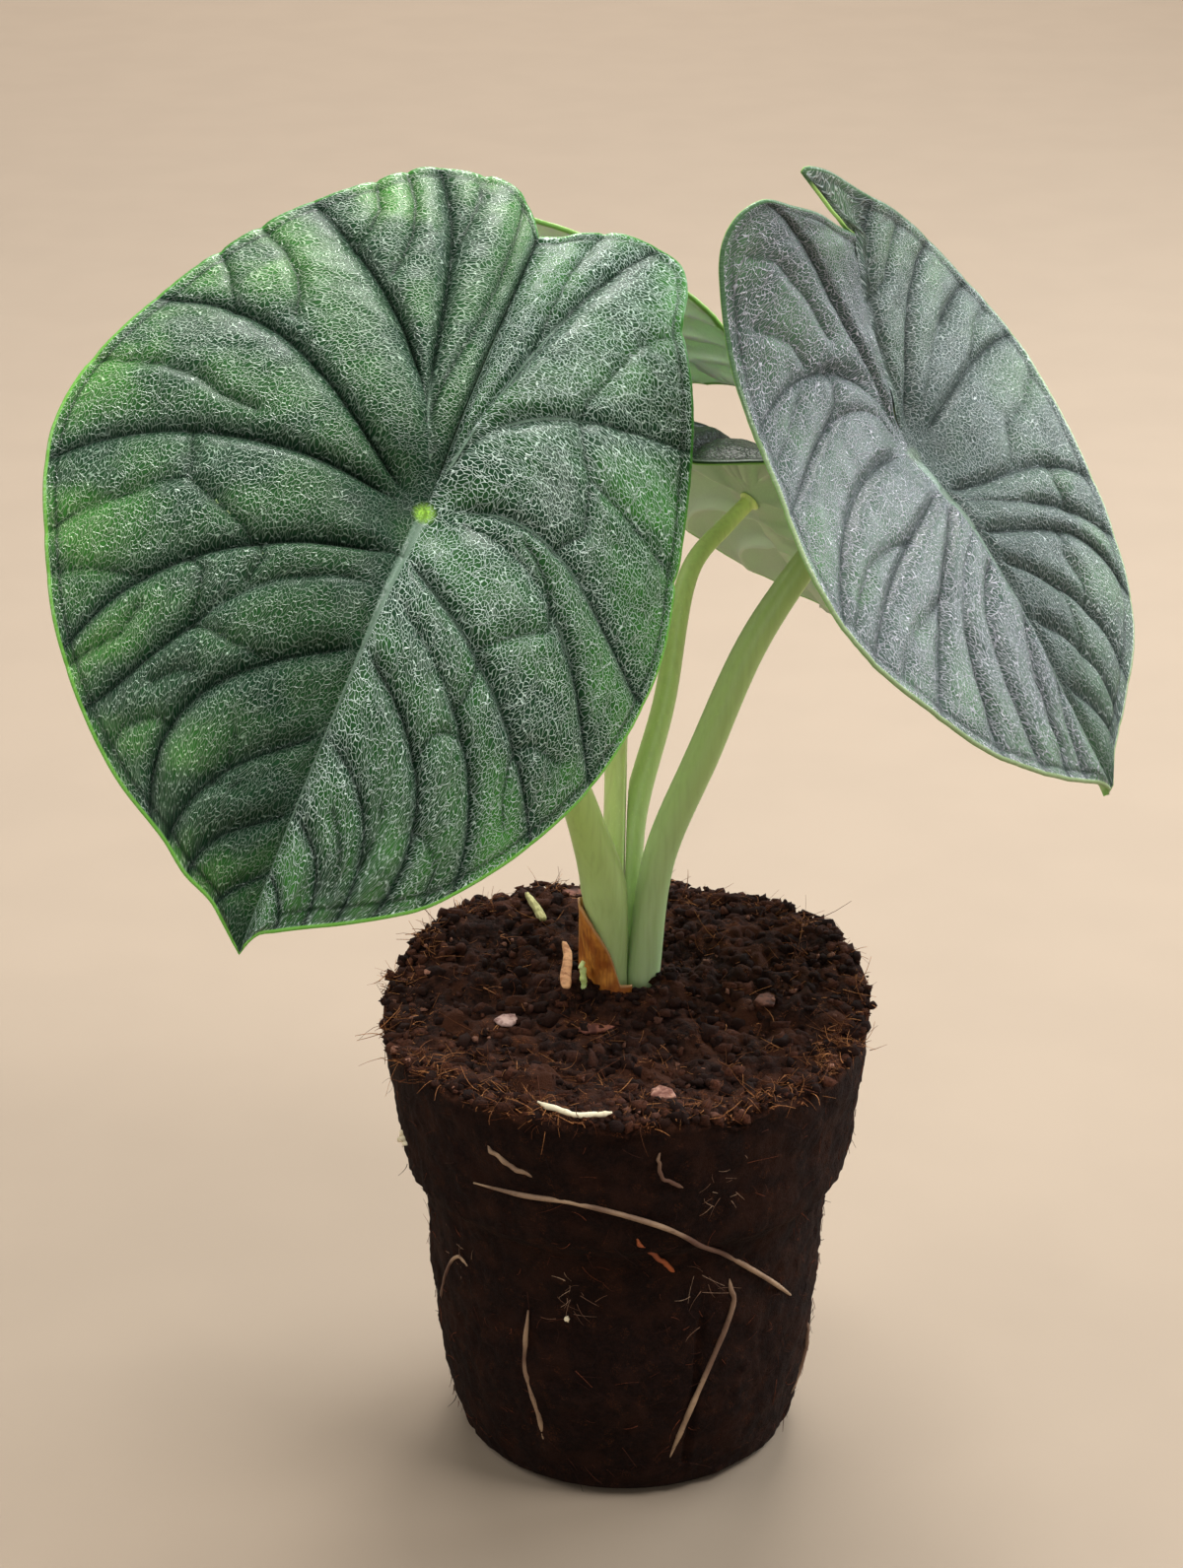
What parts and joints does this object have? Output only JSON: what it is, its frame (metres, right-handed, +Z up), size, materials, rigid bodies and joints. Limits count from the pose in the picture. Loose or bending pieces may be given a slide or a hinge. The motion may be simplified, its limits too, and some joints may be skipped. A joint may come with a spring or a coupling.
{
  "type": "alocasia melo plant with root ball",
  "caption": "Young aroid plant with thick, ribbed, heart-shaped leaves on smooth petioles, standing in a bare root ball moulded by its nursery pot.",
  "frame": {"origin": "centre of the root ball's flat underside", "axes": "+Z up, -Y towards the front, where the picture was taken from"},
  "size_m": [0.2497, 0.2137, 0.3198],
  "materials": {
    "soil": "matte",
    "root": "matte",
    "bark": "matte",
    "dry_stick": "matte",
    "corm": "matte",
    "sheath": "matte",
    "petiole": "satin",
    "leaf": "satin"
  },
  "bodies": {
    "root": {"root_ball": "soil", "wall_root_1": "root", "wall_root_2": "root", "wall_root_3": "root", "wall_root_4": "root", "wall_root_5": "root", "wall_root_6": "root", "wall_root_7": "root", "wall_root_8": "root", "rim_root": "root", "bark_chip_front": "bark", "bark_chip_left": "bark", "bark_chip_rim": "bark", "bark_chip_rear": "bark", "bark_chip_right": "bark", "tan_flake": "dry_stick", "pale_stick": "dry_stick", "corm": "corm", "sheath_scale": "sheath", "leaf_a_petiole": "petiole", "leaf_a_blade": "leaf", "leaf_b_petiole": "petiole", "leaf_b_blade": "leaf", "leaf_c_petiole": "petiole", "leaf_c_blade": "leaf", "leaf_d_petiole": "petiole", "leaf_d_blade": "leaf"}
  },
  "joints": []
}
